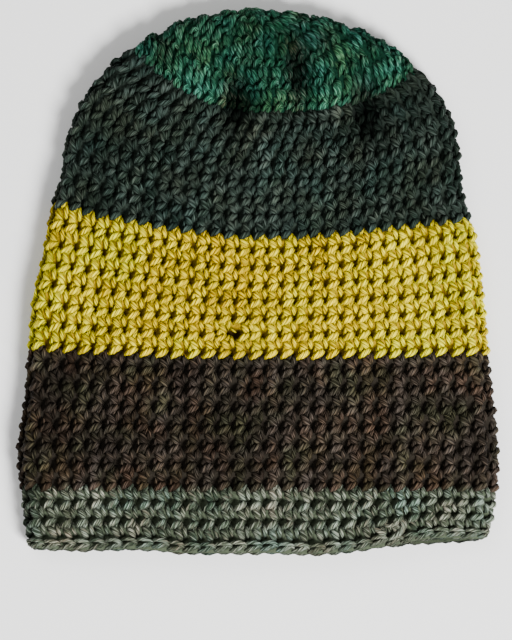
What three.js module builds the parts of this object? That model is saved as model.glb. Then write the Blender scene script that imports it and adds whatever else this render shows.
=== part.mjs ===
// A crocheted beanie lying flat on its back layer, worked from the crown down in rounds of single crochet.
// Five yarns follow each other: green crown, forest band, mustard stripe, brown band and sage hem.
// Each yarn's stretch is one closed wall, open inside, so the head can still go in at the hem.
// Millimetres. +X is the wearer's left-to-right width, +Y points to the crown, +Z is up from the table.
// The origin is the middle of the underside's bounding rectangle.
import * as THREE from "three";

// Driving dimensions of the whole hat
const WALL = 4.8;  // thickness of the crocheted fabric
const CROWN_TOP = 138;  // outside of the crown fold, from the origin
const DOME_BASE = 55.5;  // where the round crown outline runs into the sides
const LEFT_SQUARENESS = 2;  // of the dome's left side: 2 makes it a quarter of an ellipse
const RIGHT_SQUARENESS = 2.17;  // of its right side, which stands out a little more
const LEAN = -3;  // sideways offset of the crown
const FOLD_RADIUS = 6;  // of the fabric's middle, where front turns into back
const PUFF = 4;  // how far the front layer swells above its folds
const PUFF_REACH = 60;  // distance from the folds at which the swelling is complete
const LAST_ROUND = 29.5;  // where the hem ends
const HEM_ROUNDS = 4.5;  // rounds over which the fabric takes the hem's shape
const HEM_FLATTENING = 0.4;  // share of the swelling that is gone at the hem
const HEM_CURL = 2.6;  // lift of the front layer's edge
const CURL_ROUNDS = 1.6;  // rounds over which the hem lifts
const YARN_GAP = 0.018;  // of a round, left clear at each end of a yarn's stretch

// Outside half widths below the dome, from the dome's base down to past the hem
const SIDES = [
  { y: 55.5, left: 98.2, right: 101.8 },
  { y: 44, left: 102.2, right: 103.2 },
  { y: 20, left: 106.8, right: 109.6 },
  { y: -16, left: 113.6, right: 113.6 },
  { y: -52, left: 116, right: 116.6 },
  { y: -88, left: 120, right: 120 },
  { y: -108, left: 117.7, right: 118.4 },
  { y: -133, left: 115, right: 113.8 },
  { y: -150, left: 112.5, right: 111.5 },
];

// Where chosen rounds lie: distance from the crown's centre down the middle of the front and of the back,
// along the left and right folds, and how sharply the round bends up towards the folds
const ROUNDS = [
  { round: 0, front: 0, back: 0, left: 0, right: 0, bow: 2 },
  { round: 2.5, front: 27.4, back: 29, left: 30, right: 44.5, bow: 2.2 },
  { round: 5, front: 55, back: 58.5, left: 64.5, right: 91.5, bow: 2.5 },
  { round: 12, front: 118.8, back: 122, left: 155, right: 172, bow: 1.6 },
  { round: 19, front: 178.3, back: 180, left: 227.7, right: 239.8, bow: 2 },
  { round: 26, front: 243.8, back: 243, left: 298, right: 307.9, bow: 2 },
  { round: 29.5, front: 275.6, back: 274, left: 329, right: 333.6, bow: 2 },
  { round: 31, front: 288.4, back: 287, left: 341.5, right: 346, bow: 2 },
];

// Extra length of the front's hem at places across it, which makes its wavy edge
const HEM_WAVE = [
  { x: -120, drop: 0 },
  { x: -95, drop: 1 },
  { x: -62, drop: -0.6 },
  { x: -35, drop: 1.4 },
  { x: 0, drop: 1 },
  { x: 30, drop: 2.1 },
  { x: 55, drop: 0.8 },
  { x: 72, drop: -2 },
  { x: 92, drop: -7 },
  { x: 120, drop: 0 },
];

// Gathers running down the front of the crown, and the swells between them, which have a negative depth
const GATHERS = [
  { x: -11.5, y: 88, across: 6, along: 14, depth: 4.6 },
  { x: 19, y: 106, across: 5, along: 17, depth: 4.2 },
  { x: 53, y: 83, across: 6.5, along: 15, depth: 4.4 },
  { x: -25, y: 96, across: 7, along: 10, depth: -1.6 },
  { x: 7.5, y: 93, across: 6, along: 12, depth: -2 },
  { x: 37, y: 95, across: 6.5, along: 11, depth: -1.8 },
  { x: -47, y: 117, across: 5, along: 8, depth: 1.8 },
  { x: 34, y: 121, across: 4, along: 6, depth: 2.2 },
];

// The five yarns in working order: the rounds that each covers and the rows of facets along it
const YARNS = [
  { name: "crown", from: 0, to: 5, rows: 10, colour: 0x2a5a42, roughness: 0.92 },
  { name: "forest_band", from: 5, to: 12, rows: 6, colour: 0x2f3932, roughness: 0.94 },
  { name: "mustard_stripe", from: 12, to: 19, rows: 5, colour: 0xcabc45, roughness: 0.88 },
  { name: "brown_band", from: 19, to: 26, rows: 5, colour: 0x3b352b, roughness: 0.94 },
  { name: "sage_hem", from: 26, to: LAST_ROUND, rows: 4, colour: 0x737b69, roughness: 0.92 },
];

const COLUMNS = 64;  // facets round the hat
const FIRST_RING = 0.25;  // the round that the crown's closing cap reaches
const FOLD_STEPS = 90;  // outline points along the quarter dome
const SIDE_STEPS = 120;  // outline points along each side
const SLOPE_ROUNDS = 0.03;  // step down the hat for measuring its slope
const SLOPE_ANGLE = 0.012;  // step round the hat for the same

// A smooth curve through a table's rows that never overshoots between them.
function throughTable(rows, key, value, startLevel = false) {
  const x = rows.map((row) => row[key]);
  const y = rows.map((row) => row[value]);
  const last = x.length - 1;
  const slope = [];
  for (let i = 0; i < last; i++) slope.push((y[i + 1] - y[i]) / (x[i + 1] - x[i]));
  const tangent = x.map((_, i) => {
    if (i === 0) return startLevel ? 0 : slope[0];
    if (i === last) return slope[last - 1];
    const before = slope[i - 1];
    const after = slope[i];
    return before * after <= 0 ? 0 : (2 * before * after) / (before + after);
  });
  const rising = x[last] > x[0];
  return (at) => {
    let i = 0;
    while (i < last - 1 && (rising ? at > x[i + 1] : at < x[i + 1])) i++;
    const step = x[i + 1] - x[i];
    const s = (at - x[i]) / step;
    if (s > 1) return y[i + 1] + tangent[i + 1] * (at - x[i + 1]);
    const h = s * s * (3 - 2 * s);
    return (
      y[i] * (1 - h) + y[i + 1] * h +
      step * s * (1 - s) * (tangent[i] * (1 - s) - tangent[i + 1] * s)
    );
  };
}

const smoothStep = (s) => {
  const c = Math.min(1, Math.max(0, s));
  return c * c * (3 - 2 * c);
};

// The fabric's middle line as seen from above: one side of the outline, from the crown's centre down.
const APEX = { x: LEAN, y: CROWN_TOP - WALL / 2 };
function outlineSide(sign, column, squareness) {
  const halfWidth = throughTable(SIDES, "y", column, true);
  const baseWidth = halfWidth(DOME_BASE) - sign * LEAN - WALL / 2;
  const height = APEX.y - DOME_BASE;
  const points = [];
  for (let i = 0; i <= FOLD_STEPS; i++) {
    const angle = (Math.PI / 2) * (i / FOLD_STEPS);
    const out = Math.sin(angle) ** (2 / squareness);
    const up = Math.max(0, Math.cos(angle)) ** (2 / squareness);
    points.push([LEAN + sign * baseWidth * out, DOME_BASE + height * up]);
  }
  const lowest = SIDES[SIDES.length - 1].y;
  for (let i = 1; i <= SIDE_STEPS; i++) {
    const y = DOME_BASE + (lowest - DOME_BASE) * (i / SIDE_STEPS);
    points.push([sign * (halfWidth(y) - WALL / 2), y]);
  }
  return points;
}

const LEFT = outlineSide(-1, "left", LEFT_SQUARENESS);
const RIGHT = outlineSide(1, "right", RIGHT_SQUARENESS);
const FOLD_LINE = [...LEFT.slice(1).reverse(), ...RIGHT];

// The point that lies a given distance along a line of points.
function alongLine(points, distance) {
  let left = distance;
  for (let i = 1; i < points.length; i++) {
    const [ax, ay] = points[i - 1];
    const [bx, by] = points[i];
    const length = Math.hypot(bx - ax, by - ay);
    if (left <= length || i === points.length - 1) {
      const s = left / length;
      return [ax + (bx - ax) * s, ay + (by - ay) * s];
    }
    left -= length;
  }
  return points[0];
}

// Distance from a point to the fold line.
function insideDistance(x, y) {
  let best = Infinity;
  for (let i = 1; i < FOLD_LINE.length; i++) {
    const [ax, ay] = FOLD_LINE[i - 1];
    const [bx, by] = FOLD_LINE[i];
    const dx = bx - ax;
    const dy = by - ay;
    const s = Math.min(1, Math.max(0, ((x - ax) * dx + (y - ay) * dy) / (dx * dx + dy * dy)));
    const ex = x - ax - s * dx;
    const ey = y - ay - s * dy;
    best = Math.min(best, ex * ex + ey * ey);
  }
  return Math.sqrt(best);
}

// How far in from the fold line the fabric has come after running a given length from it.
function inwards(run) {
  const quarter = (Math.PI / 2) * FOLD_RADIUS;
  if (run < quarter) return FOLD_RADIUS * (1 - Math.cos(run / FOLD_RADIUS));
  return FOLD_RADIUS + run - quarter;
}

const roundAt = {};
for (const column of ["front", "back", "left", "right", "bow"]) {
  roundAt[column] = throughTable(ROUNDS, "round", column);
}
const hemDrop = throughTable(HEM_WAVE, "x", "drop");

// A point of the fabric's middle: which round, and the angle round the hat from the middle of the front,
// a quarter turn being the right fold.
function fabricPoint(round, angle) {
  const [rightX, rightY] = alongLine(RIGHT, roundAt.right(round));
  const [leftX, leftY] = alongLine(LEFT, roundAt.left(round));
  const middleX = (rightX + leftX) / 2;
  const across = Math.sin(angle);
  const isFront = Math.cos(angle) >= 0;
  const middleY = APEX.y - inwards(isFront ? roundAt.front(round) : roundAt.back(round));
  const rise = Math.abs(across) ** roundAt.bow(round);
  const sideX = across > 0 ? rightX : leftX;
  const sideY = across > 0 ? rightY : leftY;
  const x = middleX + Math.abs(across) * (sideX - middleX);
  const nearHem = smoothStep((round - LAST_ROUND + HEM_ROUNDS) / HEM_ROUNDS);
  const wave = isFront ? nearHem * hemDrop(x) * (1 - rise) : 0;
  const y = sideY * rise + middleY * (1 - rise) - wave;
  const depth = insideDistance(x, y);
  const swell = PUFF * smoothStep(depth / PUFF_REACH) * (1 - HEM_FLATTENING * nearHem);
  const height = 2 * FOLD_RADIUS + swell;
  const turn = depth < FOLD_RADIUS ? Math.sqrt(1 - (1 - depth / FOLD_RADIUS) ** 2) : 1;
  if (!isFront) return new THREE.Vector3(x, y, WALL / 2 + FOLD_RADIUS * (1 - turn));
  let z = WALL / 2 + FOLD_RADIUS + (height - FOLD_RADIUS) * turn;
  for (const gather of GATHERS) {
    const a = (x - gather.x) / gather.across;
    const b = (y - gather.y) / gather.along;
    z -= gather.depth * Math.exp(-a * a - b * b);
  }
  const curl = smoothStep((round - LAST_ROUND + CURL_ROUNDS) / CURL_ROUNDS);
  z += HEM_CURL * curl * turn * (1 - rise);
  return new THREE.Vector3(x, y, z);
}

// The fabric's outward direction there.
function fabricNormal(round, angle) {
  const alongRound = fabricPoint(round, angle + SLOPE_ANGLE).sub(fabricPoint(round, angle - SLOPE_ANGLE));
  const downHat = fabricPoint(round + SLOPE_ROUNDS, angle).sub(fabricPoint(round - SLOPE_ROUNDS, angle));
  return downHat.cross(alongRound).normalize();
}

// One yarn's stretch as a closed wall: outside and inside skins, joined by a rim at each open end.
function yarnWall({ from, to, rows }) {
  const closedTop = from === 0;
  const first = closedTop ? FIRST_RING : from + YARN_GAP;
  const end = to === LAST_ROUND ? to : to - YARN_GAP;
  const positions = [];
  const faces = [];
  const skins = [WALL / 2, -WALL / 2].map((offset) => {
    const grid = [];
    for (let row = 0; row <= rows; row++) {
      const round = first + (end - first) * (row / rows);
      const ring = [];
      for (let column = 0; column < COLUMNS; column++) {
        const angle = (2 * Math.PI * column) / COLUMNS;
        const point = fabricPoint(round, angle).addScaledVector(fabricNormal(round, angle), offset);
        ring.push(positions.length / 3);
        positions.push(point.x, point.y, point.z);
      }
      grid.push(ring);
    }
    return grid;
  });
  const quad = (a, b, c, d, flip) => {
    if (flip) faces.push(a, c, b, a, d, c);
    else faces.push(a, b, c, a, c, d);
  };
  skins.forEach((grid, inner) => {
    for (let row = 0; row < rows; row++) {
      for (let column = 0; column < COLUMNS; column++) {
        const next = (column + 1) % COLUMNS;
        quad(grid[row][column], grid[row + 1][column], grid[row + 1][next], grid[row][next], inner === 1);
      }
    }
  });
  const rim = (outside, inside, flip) => {
    for (let column = 0; column < COLUMNS; column++) {
      const next = (column + 1) % COLUMNS;
      quad(outside[column], inside[column], inside[next], outside[next], flip);
    }
  };
  rim(skins[0][rows], skins[1][rows], false);
  if (!closedTop) rim(skins[0][0], skins[1][0], true);
  if (closedTop) {
    skins.forEach((grid, inner) => {
      const centre = positions.length / 3;
      const offset = inner ? -WALL / 2 : WALL / 2;
      positions.push(APEX.x, APEX.y + offset, WALL / 2 + FOLD_RADIUS);
      for (let column = 0; column < COLUMNS; column++) {
        const next = (column + 1) % COLUMNS;
        if (inner) faces.push(centre, grid[0][next], grid[0][column]);
        else faces.push(centre, grid[0][column], grid[0][next]);
      }
    });
  }
  const geometry = new THREE.BufferGeometry();
  geometry.setAttribute("position", new THREE.Float32BufferAttribute(positions, 3));
  geometry.setIndex(faces);
  geometry.computeVertexNormals();
  return geometry;
}

const beanie = new THREE.Group();
for (const yarn of YARNS) {
  const { name, colour, roughness } = yarn;
  const material = new THREE.MeshStandardMaterial({ color: colour, roughness, metalness: 0 });
  const mesh = new THREE.Mesh(yarnWall(yarn), material);
  mesh.name = name;
  beanie.add(mesh);
}

export default beanie;
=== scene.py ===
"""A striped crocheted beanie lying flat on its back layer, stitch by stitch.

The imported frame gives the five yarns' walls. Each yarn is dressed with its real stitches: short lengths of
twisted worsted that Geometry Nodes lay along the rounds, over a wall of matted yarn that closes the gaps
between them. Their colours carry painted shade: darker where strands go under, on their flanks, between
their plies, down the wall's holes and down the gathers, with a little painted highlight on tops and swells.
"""

from __future__ import annotations

import logging
import math
from dataclasses import dataclass, field, replace
from enum import Enum
from typing import Any, Sequence

import bpy
import numpy as np
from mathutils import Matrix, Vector

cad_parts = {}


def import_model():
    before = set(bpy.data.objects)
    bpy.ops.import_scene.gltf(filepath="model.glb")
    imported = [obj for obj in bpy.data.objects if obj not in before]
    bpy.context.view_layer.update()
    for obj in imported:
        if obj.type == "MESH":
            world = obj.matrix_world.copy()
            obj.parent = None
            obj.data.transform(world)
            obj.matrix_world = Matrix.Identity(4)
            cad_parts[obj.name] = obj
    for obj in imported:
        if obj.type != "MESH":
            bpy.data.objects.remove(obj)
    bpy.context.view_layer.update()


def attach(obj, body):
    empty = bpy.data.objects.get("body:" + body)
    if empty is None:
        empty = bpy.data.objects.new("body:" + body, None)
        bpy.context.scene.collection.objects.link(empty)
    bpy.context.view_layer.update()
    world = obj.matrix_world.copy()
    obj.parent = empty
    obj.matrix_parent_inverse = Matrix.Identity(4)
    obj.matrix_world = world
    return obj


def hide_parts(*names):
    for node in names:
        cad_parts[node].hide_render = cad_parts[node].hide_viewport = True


LOG = logging.getLogger("beanie")
MM = 0.001
TURN = 2 * math.pi

# Stitches and rounds.
FULL_ROUND = 60  # stitches in each round below the crown
CROWN_ROUNDS = {1: 10, 2: 20, 3: 31, 4: 41, 5: 51, 6: 54, 7: 57}  # stitches in the rounds above those
COLUMN_PHASE = 0.33  # of a stitch, by which all the columns stand to the right of the front's middle
STITCH_MIDDLE = 0.42  # of a round, how far down in it a stitch's middle lies
ROUND_MIDDLE = 0.5
EDGE_MIDDLE = 0.72  # of the last round, for the edge's loops
EDGE_DROP = 0.3  # rounds by which the wall reaches below the last round
ODD_SEED = 5  # added to a band's seed for its first odd stitch
LOOSE_HOLE = (0.66 / FULL_ROUND, 0.22)  # part of the way round, and rounds, from a loose stitch to its hole

# How much the examples of a stitch differ.
WHOLE_SHIFT = 0.03  # of a stitch, for a whole strand
BEND_SHIFT = 0.012  # of a stitch, for each bend
LIFT_CHANGE = 0.14  # millimetres
THICKNESS_CHANGE = 0.04  # of the strand's own
TALL_LOOSENESS = 1.5  # times all of these in the crown

# The yarn's body.
PROFILE_POINTS = 8
PLY_CREST = 1.05  # of the strand's radius
PICKS = 997  # a large range of numbers for choosing among the examples
TONE_SEED = 5.0  # added to a piece's seed for its strands' tones

# The yarn's colours.
BASE_LEVEL = 0.4  # where the base colour stands between the deepest and the lightest
LIGHT_LEVEL = 0.9
TONE_SWING = 0.2  # from strand to strand
DRIFT_SWING = 0.5  # from place to place
TONE_SHIFT = 40.0  # how far apart two strands' fibres are read
FIBRE_RUN = 90.0  # how fast the fibres change along a strand
RELIEF = 0.7  # of the plies and of the fibres in the bump
PLY_ROUNDNESS = 0.6  # power of the wave across the plies, below 1 for narrow grooves
MAT_SWING = 1.4  # of the matted wall's tone with its fibres
MAT_FLOOR = 0.2

Socket = bpy.types.NodeSocket
Screen = tuple[int, int, int]
Factors = tuple[float, float, float]


@dataclass(frozen=True)
class SideRow:
    """Outside half widths of the lying hat at one height up the photo, in millimetres."""

    y: float
    left: float
    right: float


@dataclass(frozen=True)
class RoundRow:
    """Where one round of stitches lies: lengths in millimetres from the crown's centre, and its bow."""

    number: float
    front: float
    back: float
    left: float
    right: float
    bow: float


@dataclass(frozen=True)
class Gather:
    """A soft hollow pressed into the front layer, in millimetres."""

    x: float
    y: float
    across: float
    along: float
    depth: float


@dataclass(frozen=True)
class HemWave:
    """Extra length of the front's hem at one place across it, in millimetres."""

    x: float
    drop: float


class SmoothTable:
    """A smooth curve through a table's rows that never overshoots between them."""

    def __init__(self, places: Sequence[float], values: Sequence[float], start_level: bool = False) -> None:
        """Works out a tangent at each row.

        Args:
            places: the rows' places, all rising or all falling.
            values: the rows' values.
            start_level: whether the curve starts flat.
        """
        order = np.argsort(places)
        self.x = np.asarray(places, float)[order]
        self.y = np.asarray(values, float)[order]
        slope = np.diff(self.y) / np.diff(self.x)
        before, after = slope[:-1], slope[1:]
        total = np.where(before + after == 0, 1.0, before + after)
        inner = np.where(before * after <= 0, 0.0, 2 * before * after / total)
        self.tangent = np.concatenate([[slope[0]], inner, [slope[-1]]])
        if start_level:
            self.tangent[order.tolist().index(0)] = 0.0

    def __call__(self, at: np.ndarray | float) -> np.ndarray:
        """Reads the curve.

        Args:
            at: one place or an array of places.

        Returns:
            The values there, straight on past the table's ends.
        """
        at = np.asarray(at, float)
        i = np.clip(np.searchsorted(self.x, at) - 1, 0, len(self.x) - 2)
        step = self.x[i + 1] - self.x[i]
        s = np.clip((at - self.x[i]) / step, 0, 1)
        h = s * s * (3 - 2 * s)
        value = self.y[i] * (1 - h) + self.y[i + 1] * h
        value = value + step * s * (1 - s) * (self.tangent[i] * (1 - s) - self.tangent[i + 1] * s)
        after, before = np.maximum(at - self.x[-1], 0), np.minimum(at - self.x[0], 0)
        return value + (after * self.tangent[-1] + before * self.tangent[0])


def smooth_step(s: np.ndarray) -> np.ndarray:
    """Eases from 0 to 1 as s does."""
    c = np.clip(s, 0, 1)
    return c * c * (3 - 2 * c)


@dataclass
class HatForm:
    """The middle of the flattened hat's fabric: where each round runs, front and back."""

    wall: float = 4.8
    crown_top: float = 138.0
    dome_base: float = 55.5
    left_squareness: float = 2.0
    right_squareness: float = 2.17
    lean: float = -3.0
    fold_radius: float = 6.0
    puff: float = 4.0
    puff_reach: float = 60.0
    hem_rounds: float = 4.5
    hem_flattening: float = 0.4
    hem_curl: float = 2.6
    curl_rounds: float = 1.6
    last_round: float = 29.5
    outline_steps: int = 60
    # how much wider across and taller the painted shade of the deep gathers reaches than the gathers
    # themselves
    gather_shade: tuple[float, float] = (1.35, 1.15)
    sides: tuple[SideRow, ...] = (
        SideRow(55.5, 98.2, 101.8),
        SideRow(44, 102.2, 103.2),
        SideRow(20, 106.8, 109.6),
        SideRow(-16, 113.6, 113.6),
        SideRow(-52, 116, 116.6),
        SideRow(-88, 120, 120),
        SideRow(-108, 117.7, 118.4),
        SideRow(-133, 115, 113.8),
        SideRow(-150, 112.5, 111.5),
    )
    rounds: tuple[RoundRow, ...] = (
        RoundRow(0, 0, 0, 0, 0, 2),
        RoundRow(2.5, 27.4, 29, 30, 44.5, 2.2),
        RoundRow(5, 55, 58.5, 64.5, 91.5, 2.5),
        RoundRow(12, 118.8, 122, 155, 172, 1.6),
        RoundRow(19, 178.3, 180, 227.7, 239.8, 2),
        RoundRow(26, 243.8, 243, 298, 307.9, 2),
        RoundRow(29.5, 275.6, 274, 329, 333.6, 2),
        RoundRow(31, 288.4, 287, 341.5, 346, 2),
    )
    gathers: tuple[Gather, ...] = (
        Gather(-11.5, 88, 6, 14, 4.6),
        Gather(19, 106, 5, 17, 4.2),
        Gather(53, 83, 6.5, 15, 4.4),
        Gather(-25, 96, 7, 10, -1.6),
        Gather(7.5, 93, 6, 12, -2),
        Gather(37, 95, 6.5, 11, -1.8),
        Gather(-47, 117, 5, 8, 1.8),
        Gather(34, 121, 4, 6, 2.2),
    )
    hem_waves: tuple[HemWave, ...] = (
        HemWave(-120, 0),
        HemWave(-95, 1),
        HemWave(-62, -0.6),
        HemWave(-35, 1.4),
        HemWave(0, 1),
        HemWave(30, 2.1),
        HemWave(55, 0.8),
        HemWave(72, -2),
        HemWave(92, -7),
        HemWave(120, 0),
    )
    apex: float = field(init=False)
    left: np.ndarray = field(init=False)
    right: np.ndarray = field(init=False)

    def __post_init__(self) -> None:
        """Draws both sides of the fold line and the tables' curves."""
        self.apex = self.crown_top - self.wall / 2
        self.left = self._outline_side(-1, [row.left for row in self.sides], self.left_squareness)
        self.right = self._outline_side(1, [row.right for row in self.sides], self.right_squareness)
        numbers = [row.number for row in self.rounds]
        self._at = {
            name: SmoothTable(numbers, [getattr(row, name) for row in self.rounds])
            for name in ("front", "back", "left", "right", "bow")
        }
        self._drop = SmoothTable([w.x for w in self.hem_waves], [w.drop for w in self.hem_waves])

    def _outline_side(self, sign: int, widths: list[float], squareness: float) -> np.ndarray:
        """Draws one side of the fabric's middle line as seen from above.

        Args:
            sign: -1 for the left side, 1 for the right.
            widths: outside half widths, row by row.
            squareness: of the dome, 2 for a quarter of an ellipse.

        Returns:
            Points from the crown's centre down past the hem.
        """
        half_width = SmoothTable([row.y for row in self.sides], widths, start_level=True)
        base = float(half_width(self.dome_base)) - sign * self.lean - self.wall / 2
        angle = np.linspace(0, math.pi / 2, self.outline_steps + 1)
        bulge = 2 / squareness
        dome_x = self.lean + sign * base * np.sin(angle) ** bulge
        dome_y = self.dome_base + (self.apex - self.dome_base) * np.maximum(np.cos(angle), 0) ** bulge
        y = np.linspace(self.dome_base, self.sides[-1].y, self.outline_steps + 1)[1:]
        side_x = sign * (half_width(y) - self.wall / 2)
        return np.column_stack([np.concatenate([dome_x, side_x]), np.concatenate([dome_y, y])])

    @staticmethod
    def _along(line: np.ndarray, distance: np.ndarray) -> tuple[np.ndarray, np.ndarray]:
        """Finds the points that lie given distances along a line of points."""
        length = np.concatenate([[0], np.cumsum(np.hypot(*np.diff(line, axis=0).T))])
        return np.interp(distance, length, line[:, 0]), np.interp(distance, length, line[:, 1])

    def _depth(self, x: np.ndarray, y: np.ndarray) -> np.ndarray:
        """Measures how far points lie from the fold line.

        Args:
            x: places across the hat.
            y: places up the hat.

        Returns:
            Distances in millimetres.
        """
        line = np.concatenate([self.left[:0:-1], self.right])
        best = np.full(x.shape, np.inf)
        for (ax, ay), (bx, by) in zip(line[:-1], line[1:]):
            dx, dy = bx - ax, by - ay
            s = np.clip(((x - ax) * dx + (y - ay) * dy) / (dx * dx + dy * dy), 0, 1)
            best = np.minimum(best, (x - ax - s * dx) ** 2 + (y - ay - s * dy) ** 2)
        return np.sqrt(best)

    def _inwards(self, run: np.ndarray) -> np.ndarray:
        """Turns a length of fabric run from the fold into a distance in from it.

        Args:
            run: lengths along the fabric.

        Returns:
            Distances as seen from above.
        """
        quarter = math.pi / 2 * self.fold_radius
        turning = self.fold_radius * (1 - np.cos(np.minimum(run, quarter) / self.fold_radius))
        return turning + np.maximum(run - quarter, 0)

    def points(self, rounds: np.ndarray, angles: np.ndarray) -> np.ndarray:
        """Places points of the fabric's middle.

        Args:
            rounds: how many rounds from the crown's centre, below 0 for across the centre.
            angles: turn round the hat from the middle of the front, a quarter being the right fold.

        Returns:
            One row of x, y and z in millimetres for each.
        """
        angles = np.where(rounds < 0, angles + math.pi, angles)
        rounds = np.abs(rounds)
        right_x, right_y = self._along(self.right, self._at["right"](rounds))
        left_x, left_y = self._along(self.left, self._at["left"](rounds))
        middle_x = (right_x + left_x) / 2
        across = np.sin(angles)
        front = np.cos(angles) >= 0
        run = np.where(front, self._at["front"](rounds), self._at["back"](rounds))
        middle_y = self.apex - self._inwards(run)
        rise = np.abs(across) ** self._at["bow"](rounds)
        side_x = np.where(across > 0, right_x, left_x)
        side_y = np.where(across > 0, right_y, left_y)
        x = middle_x + np.abs(across) * (side_x - middle_x)
        near_hem = smooth_step((rounds - self.last_round + self.hem_rounds) / self.hem_rounds)
        wave = np.where(front, near_hem * self._drop(x) * (1 - rise), 0)
        y = side_y * rise + middle_y * (1 - rise) - wave
        return np.column_stack([x, y, self._height(x, y, rounds, rise, front, near_hem)])

    def _height(
        self,
        x: np.ndarray,
        y: np.ndarray,
        rounds: np.ndarray,
        rise: np.ndarray,
        front: np.ndarray,
        near_hem: np.ndarray,
    ) -> np.ndarray:
        """Lifts the front layer over the back one, with its folds, gathers and curled hem.

        Args:
            x: places across the hat.
            y: places up the hat.
            rounds: the rounds there.
            rise: nearness to the side folds, 0 to 1.
            front: whether each place is on the front layer.
            near_hem: nearness to the hem, 0 to 1.

        Returns:
            The heights of the fabric's middle above the table.
        """
        radius = self.fold_radius
        depth = self._depth(x, y)
        turn = np.sqrt(1 - (1 - np.minimum(depth / radius, 1)) ** 2)
        back_z = self.wall / 2 + radius * (1 - turn)
        swell = self.puff * smooth_step(depth / self.puff_reach) * (1 - self.hem_flattening * near_hem)
        front_z = self.wall / 2 + radius + (radius + swell) * turn
        for gather in self.gathers:
            a = (x - gather.x) / gather.across
            b = (y - gather.y) / gather.along
            front_z = front_z - gather.depth * np.exp(-a * a - b * b)
        curl = smooth_step((rounds - self.last_round + self.curl_rounds) / self.curl_rounds)
        front_z = front_z + self.hem_curl * curl * turn * (1 - rise)
        return np.where(front, front_z, back_z)

    def hollow(self, points: np.ndarray) -> np.ndarray:
        """Measures how deep points of the front layer lie in the gathers, and the back layer as level, for
        the shade painted down the gathers and the highlight painted on the swells; the deep gathers are
        widened by gather_shade for the painted shade only.

        Args:
            points: x, y and z in millimetres along the last axis.

        Returns:
            Depths in millimetres, below 0 on the swells between the gathers.
        """
        depth = np.zeros(points.shape[:-1])
        for gather in self.gathers:
            wide, tall = self.gather_shade if gather.depth > 0 else (1.0, 1.0)
            a = (points[..., 0] - gather.x) / (gather.across * wide)
            b = (points[..., 1] - gather.y) / (gather.along * tall)
            depth += gather.depth * np.exp(-a * a - b * b)
        return np.where(points[..., 2] > self.wall / 2 + self.fold_radius, depth, 0)

    def ring(self, number: float, samples: int = 480) -> tuple[np.ndarray, np.ndarray]:
        """Measures one round by its own length.

        Args:
            number: the round.
            samples: points taken round it.

        Returns:
            Each point's part of the way round, from -0.5 to 0.5 with 0 at the middle of the front, and the
            points.
        """
        angles = np.linspace(-math.pi, math.pi, samples + 1)
        points = self.points(np.full(samples + 1, number), angles)
        run = np.concatenate([[0], np.cumsum(np.linalg.norm(np.diff(points, axis=0), axis=1))])
        run = run - run[samples // 2]
        part = np.where(run < 0, run / max(-run[0], 1e-9), run / max(run[-1], 1e-9)) * 0.5
        return part, points


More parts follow.
